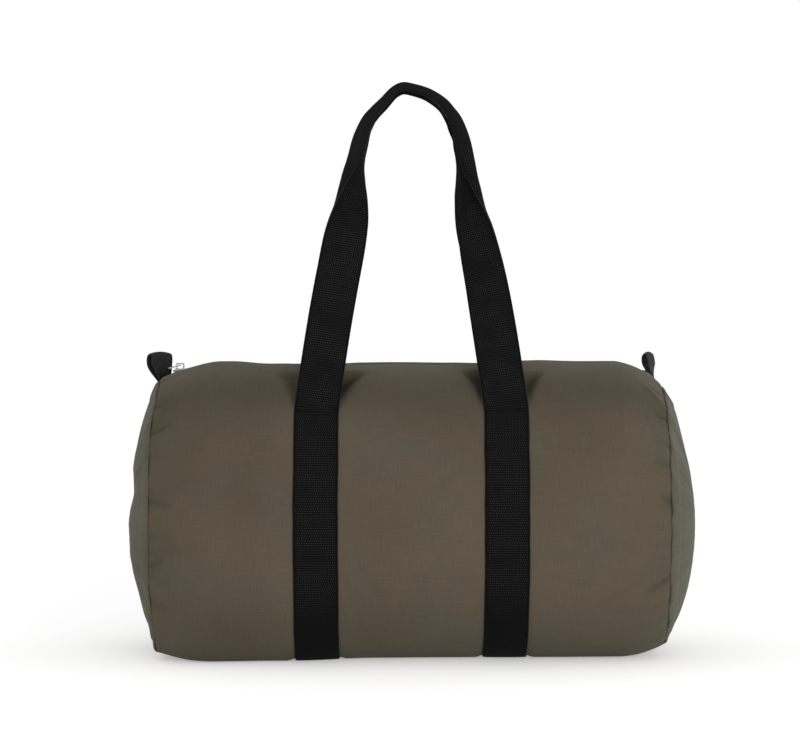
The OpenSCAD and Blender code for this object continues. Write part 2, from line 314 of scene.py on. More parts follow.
webbing = {
    "dark": (0.0040, 0.0040, 0.0042),
    "light": (0.043,) * 3,
    "dotPitch": 0.00195,
    "rowPitch": 0.00205,
    "selvedge": (0.0165, 0.0171),   # the plain margin starts this far from the middle
    "edge": (0.0183, 0.0188),       # and a painted highlight along the outer edge here
    "patch": 42.0,
    "held": (0.06, 0.12),           # reach of the worn part of a handle
}


def webbingMaterial(name, dots, tone=1.0, heldAt=None):
    material, tree, place = newMaterial(name)
    cloth = place["UV"]
    split = add(tree, "ShaderNodeSeparateXYZ", Vector=cloth).outputs
    offMiddle = mathNode(tree, "ABSOLUTE", split[0])
    u = plus(tree, split[0], times(tree, noiseNode(tree, cloth, 120.0), 0.0022))
    v = plus(tree, split[1], times(tree, noiseNode(tree, cloth, 90.0, 1.0), 0.0010))
    rows = cosine(tree, v, webbing["rowPitch"])
    # every second row lies a little aside
    u = plus(tree, u, times(tree, cosine(tree, v, 2 * webbing["rowPitch"]), 0.16 * webbing["dotPitch"]))
    posts = cosine(tree, u, webbing["dotPitch"])
    patch = ramp(tree, noiseNode(tree, cloth, webbing["patch"], 1.0), 0.44 - dots, 0.58 - dots)
    crisp = 1.0
    if heldAt:  # where a handle is held its weave is worn flat
        crisp = ramp(tree, mathNode(tree, "ABSOLUTE", minus(tree, split[1], heldAt)), *webbing["held"])
        patch = times(tree, patch, crisp)
    body = minus(tree, 1.0, ramp(tree, offMiddle, *webbing["selvedge"]))
    dotShare = times(tree, ramp(tree, plus(tree, rows, posts), 0.6, 1.9), times(tree, patch, body))
    ribShare = times(tree, ramp(tree, rows, 0.2, 1.0), times(tree, minus(tree, 1.0, patch), body))
    ribShare = times(tree, ribShare, mathNode(tree, "MAXIMUM", crisp, 0.4))
    share = plus(tree, dotShare, times(tree, ribShare, 0.3))
    share = plus(tree, share, times(tree, minus(tree, 1.0, crisp), 0.12))
    wear = noiseNode(tree, place["Object"], 26.0, 3.0, 0.6)
    share = times(tree, share, plus(tree, wear, 0.5))
    height = add(tree, "ShaderNodeSeparateXYZ", Vector=place["Object"]).outputs[2]
    # painted shade: darker near the ground
    share = times(tree, share, plus(tree, times(tree, ramp(tree, height, 0.03, 0.075), 0.6), 0.4))
    # painted highlight along the selvedge edge
    share = plus(tree, share, times(tree, ramp(tree, offMiddle, *webbing["edge"]), 0.45))
    dark, light = (tuple(v * tone for v in webbing[key]) for key in ("dark", "light"))
    fibre = noiseNode(tree, cloth, (2600, 500, 1), 2.0, 0.6)
    height = plus(tree, times(tree, fibre, 0.35), plus(tree, dotShare, ribShare))
    color = blendColors(tree, share, dark, light)
    dress(tree, color, height, depth=0.0003, strength=0.8, rough=0.8, specular=0.05)
    return material


def tapeMaterial(name, color, pitch):
    material, tree, place = newMaterial(name)
    rib = waveNode(tree, place["UV"], "Y", pitch)
    grain = noiseNode(tree, place["UV"], (1500, 900, 1), 2.0, 0.6)
    height = plus(tree, times(tree, rib, 0.4), grain)
    color = varied(tree, ramp(tree, height, 0.3, 1.1), color, 0.7, 1.35)
    dress(tree, color, height, depth=0.0003, strength=0.8, rough=0.78, specular=0.3)
    return material


def threadMaterial(name, color):
    material, tree, place = newMaterial(name)
    twist = noiseNode(tree, place["Object"], 1400.0, 2.0, 0.6)
    color = varied(tree, ramp(tree, twist, 0.3, 0.7), color, 0.75, 1.25)
    dress(tree, color, twist, depth=0.0001, strength=0.6, rough=0.75, specular=0.1)
    return material


metal = {
    "worn": (0.20, 0.195, 0.185),
    "bright": (0.36, 0.35, 0.335),
    "edge": 0.00025,
}


def metalMaterial(name):
    material, tree, place = newMaterial(name)
    scuff = noiseNode(tree, place["Object"], 700.0, 4.0, 0.65)
    color = blendColors(tree, ramp(tree, scuff, 0.35, 0.7), metal["worn"], metal["bright"])
    rough = plus(tree, times(tree, scuff, 0.22), 0.16)
    dress(tree, color, scuff, depth=0.00004, strength=0.5, rough=rough, specular=0.5, Metallic=1.0)
    return material


barrelCanvas = canvasMaterial("barrelCanvas", canvas["deep"], canvas["tone"])
# the end panels get a paler, greener copy of the canvas: painted light on the sideways-facing ends
litEndCanvas = canvasMaterial("litEndCanvas", canvas["olive"], canvas["litEndTone"])
strapWebbing = webbingMaterial("strapWebbing", 0.1)
handleWebbing = webbingMaterial("handleWebbing", 0.02, 1.1, heldAt=0.34)
tabTape = tapeMaterial("tabTape", (0.0115, 0.0112, 0.0112), 0.0016)
zipTape = tapeMaterial("zipTape", (0.018, 0.017, 0.015), 0.0008)
coilNylon = threadMaterial("coilNylon", (0.02, 0.019, 0.017))
blackThread = threadMaterial("blackThread", (0.0045,) * 3)
oliveThread = threadMaterial("oliveThread", (0.085, 0.075, 0.05))
nickel = metalMaterial("nickel")
bindingTape = tapeMaterial("bindingTape", (0.03, 0.028, 0.024), 0.0012)
print("finishes made")


# The body of the bag. Angles run from the top over the front (-Y), in radians.
bag = {
    "seamX": 0.2198,
    "halfDepth": 0.1300,
    "centreZ": 0.122,
    "bellyZ": 0.0004,
    "pressAt": (-0.216, -0.185, -0.12, -0.03, 0.12, 0.21),
    "press": (0.0145, 0.0200, 0.0165, 0.0080, 0.0082, 0.0068),  # how far the ground flattens the belly
    "topAt": (-0.2, -0.16, -0.12, -0.08, -0.045, 0.015, 0.06, 0.11, 0.15, 0.2),
    "top": (0.2588, 0.2590, 0.2568, 0.2560, 0.2574, 0.2572, 0.2572, 0.2598, 0.2584, 0.2586),
    "shoulderX": (0.17, 0.180),   # left and right
    "shoulderLen": (0.05, 0.040),
    "shoulderDrop": (0.016, 0.0245),
    "shoulderTurn": (1.5, 1.7),
    "leftLift": 0.0068,    # how far the belly rises at each end seam
    "rightLift": 0.0105,
    "rightDroop": 0.0045,  # how much lower the right end of the zip hangs
    "leftLean": 0.0028,    # how far the left seam bows outward
    "squareAt": (-0.2, -0.1, 0.06, 0.2),
    "square": (2.55, 2.5, 2.2, 2.15),  # 2 is round, more is squarer below
    "hemY": 0.006,
    "hemEndY": 0.003,
    "hemZ": 0.2484,
    "hemFallX": 0.2035,    # the hems fall away outward of this
    "hemFall": 0.0085,
    "hemTurn": ((0, -0.0045, -0.0013), (0, -0.0006, -0.0011), (0, 0.0001, -0.0006)),
    "grooveDepth": 0.0024,
    "swell": 0.0013,       # wide and small unevenness of the cloth
    "ripple": 0.0005,
    "pucker": 0.0016,
    "creaseX": 0.2190,
    "rows": 340,
    "columns": 210,
}
strap = {
    "x": 0.0805,
    "width": 0.038,
    "thick": 0.0016,
    "handOver": math.radians(44.9),  # angle at which the sewn webbing becomes the handle
}
# Painted shade on the cloth, as shares of the darkest: in the seam grooves, fold valleys and hollows, a
# broad band along the front, the upper part and the left end
paintedShading = {
    "seam": 0.85,
    "valley": 0.2,
    "hollow": 88,          # for a metre of depth
    "front": 0.22,         # a broad band of painted shade along the barrel, at this arc from the top
    "frontArc": 0.080,
    "frontReach": 0.03,
    "upper": 0.04,
    "left": 0.08,
}
# Hollows where the handles pull on the canvas: x at the webbing's edge, way they spread along x,
# turn (1 front, -1 back), angle of the upper fold in degrees, width, length, depth
hollows = [
    (-0.0610, 1, 1, 20.5, 0.028, 0.058, 0.0090), (0.0610, -1, 1, 20.5, 0.022, 0.060, 0.0078),
    (0.0998, 1, 1, 23.5, 0.017, 0.050, 0.0068), (-0.0998, -1, 1, 22, 0.021, 0.052, 0.0040),
    (-0.0612, 1, -1, 22, 0.020, 0.048, 0.0060), (0.0612, -1, -1, 20.5, 0.024, 0.045, 0.0068),
    (0.0998, 1, -1, 23, 0.018, 0.044, 0.0040), (-0.0998, -1, -1, 23, 0.015, 0.040, 0.0055),
]
# Creases drawn from the end seams: x and arc of the far end, arc at the seam, height, width
creases = [
    (-0.206, 0.080, 0.101, 0.0030, 0.0026), (-0.199, 0.108, 0.118, -0.0024, 0.0030),
    (-0.203, 0.142, 0.136, 0.0022, 0.0028), (-0.196, 0.190, 0.184, -0.0020, 0.0034),
    (0.192, 0.052, 0.080, 0.0024, 0.0034), (0.204, 0.098, 0.093, -0.0026, 0.0024),
    (0.205, 0.120, 0.126, 0.0022, 0.0028), (0.198, 0.150, 0.148, -0.0020, 0.0034),
    (0.200, 0.226, 0.236, 0.0024, 0.0030), (-0.204, 0.236, 0.246, -0.0024, 0.0032),
    (0.190, 0.272, 0.258, -0.0026, 0.0032), (-0.196, 0.282, 0.266, 0.0026, 0.0034),
    (0.206, 0.176, 0.184, -0.0018, 0.0024), (-0.207, 0.212, 0.206, 0.0020, 0.0024),
]
wholeArc = 2 * math.pi * bag["halfDepth"]


def creaseForm(x, arc):
    out = 0 * arc
    for x1, arc1, arc2, high, width in creases:
        dx, dy = math.copysign(bag["creaseX"], x1) - x1, arc2 - arc1
        along = np.clip(((x - x1) * dx + (arc - arc1) * dy) / (dx * dx + dy * dy), 0, 1.2)
        off = np.hypot(x - x1 - along * dx, arc - arc1 - along * dy)
        out = out + high * smooth(along * 1.6) * bump(off, width)
    return out


def strapMask(x):
    return smooth((strap["width"] / 2 + 0.006 - np.abs(np.abs(x) - strap["x"])) / 0.006)


def hollowForm(x, arc):
    # depth of the hollows, and the painted shadow in them
    depth, dark = 0 * arc, 0 * arc
    for edge, way, turn, angle, width, long, deepest in hollows:
        down = (arc if turn > 0 else wholeArc - arc) - math.radians(angle) * bag["halfDepth"]
        aside = (x - edge) * way
        inside = 1 - np.maximum(aside, 0) / width - np.maximum(down, 0) / long
        # a sharp fold above, and the webbing's edge at one side
        near = smooth(1 + aside / 0.005)
        depth = depth + deepest * smooth(1.2 * inside) * smooth(0.5 + down / 0.009) * near
        # painted shadow in the hollow, below the fold
        dark = dark + paintedShading["hollow"] * deepest * smooth(1.7 * inside) * smooth(0.5 + down / 0.015) * near
    return depth, dark


def seamGroove(x, arc):
    # the end seam is drawn in more in some places than in others
    toSeam = bag["seamX"] - np.abs(x)
    drawn = smooth(0.5 + 0.9 * latticeNoise(arc, np.sign(x) * 5.0, (0.021, 1), 33))
    # the groove's depth, and a painted shadow along it
    return bump(toSeam, 0.0020) * (0.35 + 0.65 * drawn), bump(toSeam, 0.0012) * (0.3 + 0.7 * drawn)


def puckers(x, arc):  # small gathers beside the end seams, from -1 to 1
    toSeam = bag["seamX"] - np.abs(x)
    gathers = latticeNoise(arc, np.sign(x) * 3.0 + toSeam * 0.2, (0.0075, 0.02), 21)
    return gathers * np.exp(-toSeam / 0.011)


def relief(x, a, hollow):
    # how far the canvas stands out of the plain form, in metres
    arc = a * bag["halfDepth"]
    swell, ripple = latticeNoise(x, arc, (0.075, 0.06), 3), latticeNoise(x, arc, (0.022, 0.028), 8)
    out = (bag["swell"] * swell + bag["ripple"] * ripple) * (1 - 0.6 * strapMask(x))
    if hollow:
        out = out - hollowForm(x, arc)[0]
    out = out + bag["pucker"] * puckers(x, arc)
    out = out + creaseForm(x, np.minimum(arc, wholeArc - arc))
    return out - bag["grooveDepth"] * seamGroove(x, arc)[0]


def hemHeight(x):
    toEnd = np.clip((np.abs(x) - bag["hemFallX"]) / (bag["seamX"] - bag["hemFallX"]), 0, 1)
    fall = bag["hemFall"] + np.where(x > 0, bag["rightDroop"], 0)
    # the canvas stands up a little round the foot of the right tab
    raised = 0.0013 * bump(x - 0.2098, 0.0038)
    return bag["hemZ"] - 0.001 * smooth((np.abs(x) - 0.165) / 0.035) - fall * toEnd ** 1.4 + raised


def hemPlace(x):
    return np.interp(np.abs(x), (0.195, bag["seamX"]), (bag["hemY"], bag["hemEndY"]))


def eased(x, places, values):  # smooth steps between the listed values
    places, values = np.array(places), np.array(values)
    k = np.clip(np.searchsorted(places, x) - 1, 0, len(places) - 2)
    t = smooth((x - places[k]) / (places[k + 1] - places[k]))
    return values[k] + (values[k + 1] - values[k]) * t


def shell(x, a, hollow=True):
    right = (x > 0).astype(int)
    start, long, fall, bend = (np.take(bag["shoulder" + key], right) for key in ("X", "Len", "Drop", "Turn"))
    end = np.clip((np.abs(x) - start) / long, 0, 1)
    top = eased(x, bag["topAt"], bag["top"])
    drop = fall * end ** bend
    lift = np.where(x < 0, bag["leftLift"], bag["rightLift"]) * end ** 2
    low = bag["bellyZ"] + lift + (strap["thick"] + 0.0001) * strapMask(x)
    square = np.interp(x, bag["squareAt"], bag["square"])
    s, c = np.sin(a), np.cos(a)
    width = bag["halfDepth"] - np.minimum(drop, 0.016 * end ** 1.5)
    press = eased(x, bag["pressAt"], bag["press"])
    height = np.where(c > 0, top - drop - bag["centreZ"], bag["centreZ"] - low + press)
    power = np.where(c > 0, 2, 2 + (square - 2) * smooth(-c * 2.5))
    r = ((np.abs(s) / width) ** power + (np.abs(c) / height) ** power) ** (-1 / power)
    hem = hemPlace(x)
    nearZip = bump(np.maximum(np.abs(r * s) - hem, 0), 0.0115) * (c > 0)
    grounded = smooth((r * c + bag["centreZ"] - low) / 0.012)  # the belly lies still
    r = r + relief(x, a, hollow) * (1 - nearZip) * np.where(c > 0, 1, grounded)
    z = bag["centreZ"] + r * c
    z = z + nearZip * (hemHeight(x) - (top - drop - hem ** 2 / (2 * width)))
    above = z - low
    # the ground stops it
    z = low + np.where(c > 0, above, 0.5 * (above + np.sqrt(above ** 2 + 0.0016 ** 2)))
    lean = bag["leftLean"] * smooth((-x - 0.13) / 0.09) * smooth((0.236 - z) / 0.045)
    lean = lean * smooth((z - 0.02) / 0.06)
    return joined(x - lean, -r * s, z)


def shellNormal(x, a, hollow=True):
    alongX = shell(x + 0.0004, a, hollow) - shell(x - 0.0004, a, hollow)
    around = shell(x, a + 0.002, hollow) - shell(x, a - 0.002, hollow)
    return unit(np.cross(around, alongX))


def lifted(x, a, high, hollow=False):  # places this high above the canvas, and the way it faces there
    normal = shellNormal(x, a, hollow)
    return shell(x, a, hollow) + normal * high, normal


def barrelPanel():
    u = np.linspace(-1, 1, bag["columns"])
    x = bag["seamX"] * (1.325 * u - 0.325 * u ** 3)   # closer together near the end seams
    t = np.linspace(0, 1, bag["rows"])
    t = t - 0.6 * np.sin(2 * math.pi * t) / (2 * math.pi)
    first = hemPlace(x) / (eased(x, bag["topAt"], bag["top"]) - bag["centreZ"])
    a = first + t[:, None] * (2 * math.pi - 2 * first)
    points = shell(np.broadcast_to(x, a.shape), a)
    # the hem turns under at both sides of the zip
    front = [points[0] + np.array(step) for step in bag["hemTurn"]]
    back = [points[-1] + np.array(step) * (1, -1, 1) for step in bag["hemTurn"][::-1]]
    points = np.concatenate([front, points, back])
    uvs = joined(x, lengthAlong(points[:, len(x) // 2])[:, None])
    piece = loft("barrel_canvas", points, uvs, barrelCanvas, caps=False, closed=False, turned=True)
    arc = np.pad(a, ((3, 3), (0, 0)), mode="edge") * bag["halfDepth"]
    across = np.broadcast_to(x, arc.shape)
    down = np.minimum(arc, wholeArc - arc)
    # painted shade in the valleys of the puckers and creases
    foldShade = np.clip(-puckers(across, arc), 0, 1) + np.clip(-creaseForm(across, down) / 0.002, 0, 1)
    # painted shade: in the seam groove and the hollows, in the fold valleys, along the front band, over the
    # upper part and at the left end
    shade = paintedShading["seam"] * seamGroove(across, arc)[1] + hollowForm(across, arc)[1]
    shade = shade + paintedShading["valley"] * foldShade
    shade = shade + paintedShading["front"] * bump(down - paintedShading["frontArc"], paintedShading["frontReach"])
    shade = shade + paintedShading["upper"] * smooth((0.25 - down) / 0.1)
    paintShade(piece, shade + paintedShading["left"] * smooth((-across - 0.11) / 0.03))
    return piece


endPanel = {
    "bulge": 0.0275,
    # shallow places: side, z, depth, reach across, reach up and down
    "hollows": [(-1, 0.144, 0.0082, 0.07, 0.017), (-1, 0.050, 0.0072, 0.08, 0.030),
                (-1, 0.104, 0.0044, 0.06, 0.026), (-1, 0.020, 0.0055, 0.08, 0.014),
                (1, 0.012, 0.0045, 0.08, 0.013), (1, 0.215, -0.0016, 0.05, 0.013),
                (1, 0.046, 0.0010, 0.08, 0.030)],
    "power": 2.6,
    "radius": 0.112,
    "seamRadius": 0.11,
    "centreZ": 0.112,
    "wave": 0.0015,    # gathers beside the seam, and soft waves inward of them
    "swell": 0.0014,
    "rings": 46,
    "around": 300,
}


def endHollows(side, ring):
    depth = 0 * ring[:, 1]
    for own, z, deepest, ry, rz in endPanel["hollows"]:
        depth = depth + (own == side) * deepest * bump(ring[:, 1], ry) * bump(ring[:, 2] - z, rz)
    return depth


def endDome(word, side):
    seamX = side * bag["seamX"]
    a = np.linspace(0, 2 * math.pi, endPanel["around"], endpoint=False)
    # the rim is the seam loop; over the zip it runs straight across
    rim = shell(np.full_like(a, seamX), a)
    rim[:, 2] = np.minimum(rim[:, 2], hemHeight(np.array([seamX]))[0] + 0.0002)
    centre = np.array([0, 0, endPanel["centreZ"]])
    share = np.linspace(1, 0, endPanel["rings"] + 1)[:-1] ** 0.8
    rings = []
    for k, rho in enumerate(share):
        ring = centre + (rim - centre) * rho
        toRim = (1 - rho) * endPanel["radius"]
        gathers = latticeNoise(a * endPanel["seamRadius"], toRim * 0.35 + side, (0.009, 0.02), 40)
        wave = gathers * endPanel["wave"] * np.exp(-toRim / 0.013)
        swell = latticeNoise(ring[:, 1], ring[:, 2], (0.05, 0.06), 52)
        wave = wave + swell * endPanel["swell"] * smooth(toRim / 0.02)
        groove = bag["grooveDepth"] * (1 - bump(toRim, 0.003))
        bulge = endPanel["bulge"] * (1 - rho ** endPanel["power"]) + wave * (k > 0)
        bulge = bulge - endHollows(side, ring) * smooth(toRim / 0.015)
        ring[:, 0] = side * (bag["seamX"] + bulge) + (rim[:, 0] - seamX) * rho
        if 0 < k < 8:
            ring[:, 1:] += unit(rim[:, 1:] - centre[1:]) * groove
        rings.append(ring)
    rings = np.stack(rings)
    count, around = rings.shape[:2]
    points = np.concatenate([rings.reshape(-1, 3), rings[-1].mean(axis=0, keepdims=True)])
    faces = ringFaces(count, around)
    last = (count - 1) * around
    faces += [(last + k, last + (k + 1) % around, len(points) - 1) for k in range(around)]
    if side < 0:
        faces = [face[::-1] for face in faces]
    piece = meshObject(word + "_end_canvas", points, faces, points[:, 1:], litEndCanvas)
    # painted shadow along the end seam
    seam = seamGroove(rim[:, 0], a * bag["halfDepth"])[1]
    shade = paintedShading["seam"] * seam * bump((1 - share[:, None]) * endPanel["radius"], 0.0012)
    paintShade(piece, np.append(shade.ravel(), 0))
    return piece


ends = ((-1, "left"), (1, "right"))
barrel = barrelPanel()
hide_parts("barrel_panel")
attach(barrel, "bag")
for side, word in ends:
    dome = endDome(word, side)
    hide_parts(word + "_end_panel")
    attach(dome, "bag")
print("canvas shell made")


# The webbing that is sewn round the body

def sewnStrap(word, side):
    x0 = side * strap["x"]
    tail = strap["handOver"]
    a = np.linspace(tail, 2 * math.pi - tail, 300)
    across, above = tapeOutline(strap["width"], strap["thick"], 17)
    xs = x0 + across + 0.0003 * latticeNoise(a[:, None], 0 * across + side, (0.12, 1), 5)
    turns = np.broadcast_to(a[:, None], xs.shape)
    lift = above + strap["thick"] / 2 - 0.0001
    # the selvedges are drawn down by their stitches, so the middle stands a little proud
    crown = 0.0004 * (1 - (np.abs(across) / (strap["width"] / 2)) ** 4) * (above > 0)
    rings, _ = lifted(xs, turns, (lift + crown)[:, None])
    length = lengthAlong(shell(np.full_like(a, x0), a, False))
    uvs = joined(across, length[:, None])
    return loft(word + "_strap_webbing", rings, uvs, strapWebbing)


for side, word in ends:
    webbingPiece = sewnStrap(word, side)
    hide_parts(word + "_strap")
    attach(webbingPiece, "bag")
print("straps made")


# The handles: the same webbing, folded double and brought together at the top
handle = {
    "foldY": -0.093479,
    "foldZ": 0.219479,
    "rise": 0.2785,
    "creaseY": -0.020,
    # places of the fold line: share of the feet's distance from the middle, share of the rise
    "leg": [(1, 0), (0.94, 0.12), (0.882, 0.233), (0.811, 0.355), (0.733, 0.481), (0.697, 0.56),
            (0.685, 0.64), (0.68, 0.7), (0.655, 0.765)],
    "arch": [(0.607, 0.829), (0.528, 0.888), (0.452, 0.921), (0.362, 0.951), (0.2, 0.98), (0.02, 0.996),
             (-0.1, 1), (-0.21, 0.984), (-0.322, 0.951), (-0.425, 0.921), (-0.513, 0.888), (-0.602, 0.829)],
    "leanAt": (0, 0.4, 0.765, 1),   # how far the fold line has come to the middle plane
    "lean": (0, 0.54, 0.97, 1),
    # place on the handle, from the left foot (-1) over the top (0) to the right foot (1), then the turn in
    # degrees of each quarter of the half that folds over the front and of the half that stays behind
    "folds": [
        (-0.54, 0, 0, 0, 0, 0, 0, 0, 0), (-0.44, 5, 15, 35, 60, 3, 6, 9, 12),
        (-0.36, 8, 35, 85, 130, 10, 20, 30, 40), (-0.30, 15, 80, 130, 175, 15, 30, 45, 55),
        (-0.235, 60, 115, 185, 235, 20, 40, 60, 80), (-0.17, 60, 120, 190, 240, 20, 40, 60, 80),
        (-0.112, 65, 138, 208, 245, 27, 52, 80, 100), (-0.079, 75, 150, 232, 285, 48, 75, 95, 105),
        (-0.049, 80, 155, 245, 310, 55, 80, 95, 105), (0, 80, 160, 250, 320, 60, 85, 95, 100),
        (0.049, 80, 155, 240, 300, 45, 75, 95, 110), (0.079, 75, 150, 225, 270, 40, 65, 95, 110),
        (0.112, 65, 145, 200, 215, 35, 60, 80, 95), (0.17, 62, 140, 185, 190, 27, 45, 55, 60),
        (0.235, 62, 138, 180, 185, 27, 45, 55, 60), (0.30, 50, 110, 160, 180, 20, 40, 50, 60),
        (0.36, 15, 65, 120, 160, 20, 35, 50, 60), (0.43, 8, 35, 60, 90, 15, 35, 45, 55),
        (0.52, 5, 20, 35, 50, 10, 20, 30, 35), (0.60, 2, 10, 20, 25, 10, 20, 30, 30),
        (0.70, 0, 0, 5, 10, 8, 12, 15, 15), (0.85, 0, 0, 0, 0, 0, 0, 0, 0),
    ],
    # how far the back handle lies outward of the front one, and lower, by the same places
    "backOut": [(-1, 0), (-0.8, 0.0045), (-0.55, 0.003), (-0.4, 0), (0.25, 0), (0.31, -0.002),
                (0.37, -0.0026), (0.44, -0.0016), (0.55, 0.004), (0.88, 0.005), (1, 0)],
    "backLow": [(-0.15, 0), (-0.08, 0.001), (-0.05, 0.001), (-0.018, 0), (0.006, 0), (0.03, 0.001),
                (0.08, 0.003), (0.15, 0)],
    "steps": 8,
}


def footPlace(side, angle, high):  # middle of the webbing near the fold line
    return lifted(np.array([side * strap["x"]]), np.array([angle]), strap["thick"] / 2 + high)[0][0]


def foldedLine(over, stay):
    # centre line across the webbing, as places outward and forward
    steps = 16
    share = (np.arange(steps) + 0.5) / steps
    size = strap["width"] / 2 / steps
    sides = []
    for turns in (over, stay):
        angle = np.radians(np.interp(share, (0.125, 0.375, 0.625, 0.875), turns))
        sides.append((np.cumsum(np.cos(angle)) * size, np.cumsum(np.sin(angle)) * size))
    front, back = sides
    return (np.concatenate([-back[0][::-1], [0], front[0]]), np.concatenate([-back[1][::-1], [0], front[1]]))


def evened(values, reach):  # running mean
    span = 2 * reach + 1
    return np.convolve(np.pad(values, reach, mode="edge"), np.ones(span) / span, mode="valid")


def handleRings(turn):
    # turn is 1 for the front handle and -1 for the back one
    leg = handle["leg"]
    path = smoothPath(leg + handle["arch"] + [(-x, z) for x, z in leg[::-1]], handle["steps"])
    rise = path[:, 1]
    place = (1 - rise) * np.sign(path[:, 0])
    lean = evened(np.interp(rise, handle["leanAt"], handle["lean"]), 6)
    crease = joined(path[:, 0] * strap["x"], handle["foldY"] + (handle["creaseY"] - handle["foldY"]) * lean,
                    handle["foldZ"] + rise * handle["rise"])
    if turn < 0:
        outer, lower = (np.interp(place, *zip(*handle[key])) for key in ("backOut", "backLow"))
        crease[:, 0] += evened(outer, 5) * np.sign(path[:, 0])
        crease[:, 2] -= evened(lower, 3)
    folds = np.array(handle["folds"], dtype=float)
    turns = np.stack([evened(np.interp(place, folds[:, 0], folds[:, k]), 3) for k in range(1, 9)], axis=-1)
    # the feet settle onto the canvas and run on below the fold line, over the ends of the sewn webbing
    foldAngle = math.atan2(-handle["foldY"], handle["foldZ"] - bag["centreZ"])
    settle = (1 - smooth(rise * handle["rise"] / 0.016))[:, None]
    for side in (1, -1):
        moved = footPlace(side, foldAngle, 0.0005) - crease[0 if side > 0 else -1]
        crease = crease + settle * moved * (path[:, :1] * side > 0)
    feet = [footPlace(side, strap["handOver"] + down, high) for side in (1, -1)
            for down, high in ((0.016, 0.0003), (0.005, 0.0005), (-0.006, 0.0005))]
    crease = np.concatenate([feet[:3], crease, feet[3:][::-1]])
    turns = np.pad(turns, ((3, 3), (0, 0)))
    along = unit(np.gradient(crease, axis=0))
    along[0], along[-1] = along[1], along[-2]
    out = unit(joined(along[:, 2], 0 * along[:, 0], -along[:, 0]))
    forward = unit(np.cross(out, along))
    across, above = tapeOutline(strap["width"], strap["thick"], 41)
    rings = []
    for i in range(len(crease)):
        lineOut, lineForward = foldedLine(turns[i, :4], turns[i, 4:])
        places = np.linspace(-strap["width"] / 2, strap["width"] / 2, len(lineOut))
        turnOut, turnForward = np.gradient(lineOut, places), np.gradient(lineForward, places)
        outward = np.interp(across, places, lineOut) - np.interp(across, places, turnForward) * above
        ahead = np.interp(across, places, lineForward) + np.interp(across, places, turnOut) * above
        rings.append(crease[i] + out[i] * outward[:, None] + forward[i] * ahead[:, None])
    rings = np.stack(rings)
    rings[..., 1] *= turn
    return rings, joined(across, lengthAlong(crease)[:, None])


for turn, word in ((1, "front"), (-1, "back")):
    rings, uvs = handleRings(turn)
    piece = loft(word + "_handle_webbing", rings, uvs, handleWebbing, turned=turn > 0)
    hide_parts(word + "_handle")
    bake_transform(piece)
print("handles made")


# The zip: two tapes under the hems, a row of coil on each, the slider and its pull
zipper = {
    "gap": 0.0018,
    "tapeWidth": 0.0125,
    "endWidth": 0.006,     # at the end seams
    "levelX": 0.2085,      # level as far as this
    "tapeThick": 0.0008,
    "tapeDrop": 0.0019,    # top of the tape below the top of the hem
    "coilRadius": 0.0012,
    "toothPitch": 0.00135,
    "tooth": 0.00036,
}


def zipTapePiece(word, side):
    x = np.linspace(-bag["seamX"] + 0.0006, bag["seamX"] - 0.0006, 160)
    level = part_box("front_zip_tape")[1][2]
    top = np.minimum(hemHeight(x) - zipper["tapeDrop"], level)
    top = evened(np.where(np.abs(x) < zipper["levelX"], level, top), 3)
    across, above = tapeOutline(1.0, zipper["tapeThick"], 7)
    inner = zipper["gap"] / 2
    width = np.interp(np.abs(x), (0.2, bag["seamX"]), (zipper["tapeWidth"], zipper["endWidth"]))
    y = -side * (inner + (across + 0.5) * (width[:, None] - inner))
    z = top[:, None] - zipper["tapeThick"] / 2 + above
    rings = joined(x[:, None], y, z)
    return loft(word + "_tape_cloth", rings, joined(y, x[:, None]), zipTape, turned=side > 0)


def pathMesh(name, chains):
    # chains are (points, facing); the facing is kept as an attribute for the sewn or wound pieces
    points, edges, facing = [], [], []
    for line, face in chains:
        start = len(points)
        points += [tuple(p) for p in line]
        facing += [tuple(f) for f in face]
        edges += [(start + k, start + k + 1) for k in range(len(line) - 1)]
    mesh = bpy.data.meshes.new(name)
    mesh.from_pydata(points, edges, [])
    layer = mesh.attributes.new("facing", "FLOAT_VECTOR", "POINT")
    layer.data.foreach_set("vector", np.array(facing, dtype=np.float32).ravel())
    return newObject(name, mesh)


def nodeGroup(name, inputs):
    tree = bpy.data.node_groups.new(name, "GeometryNodeTree")
    tree.interface.new_socket("Geometry", in_out="INPUT", socket_type="NodeSocketGeometry")
    for label, value in inputs.items():
        kind = "NodeSocketInt" if isinstance(value, int) else "NodeSocketFloat"
        tree.interface.new_socket(label, in_out="INPUT", socket_type=kind).default_value = value
    tree.interface.new_socket("Geometry", in_out="OUTPUT", socket_type="NodeSocketGeometry")
    return tree, add(tree, "NodeGroupInput").outputs


def placeAlong(tree, group, shape, material, primary, secondary, size=(1, 1, 1)):
    # a copy of the shape at every pitch along the path, turned to it
    curve = add(tree, "GeometryNodeMeshToCurve", Mesh=group["Geometry"]).outputs[0]
    spaced = add(tree, "GeometryNodeResampleCurve", mode="LENGTH", Curve=curve, Length=group["Pitch"])
    tangent = add(tree, "GeometryNodeInputTangent").outputs[0]
    facing = add(tree, "GeometryNodeInputNamedAttribute", data_type="FLOAT_VECTOR", Name="facing").outputs[0]
    turn = add(tree, "FunctionNodeAxesToRotation", primary_axis=primary, secondary_axis=secondary,
               i0=tangent, i1=facing).outputs[0]
    copies = add(tree, "GeometryNodeInstanceOnPoints", Points=spaced.outputs[0], Instance=shape,
                 Rotation=turn, Scale=size)
    real = add(tree, "GeometryNodeRealizeInstances", Geometry=copies.outputs[0]).outputs[0]
    shaded = add(tree, "GeometryNodeSetShadeSmooth", Geometry=real).outputs[0]
    finished = add(tree, "GeometryNodeSetMaterial", Geometry=shaded, Material=material).outputs[0]
    add(tree, "NodeGroupOutput", i0=finished)
    return tree


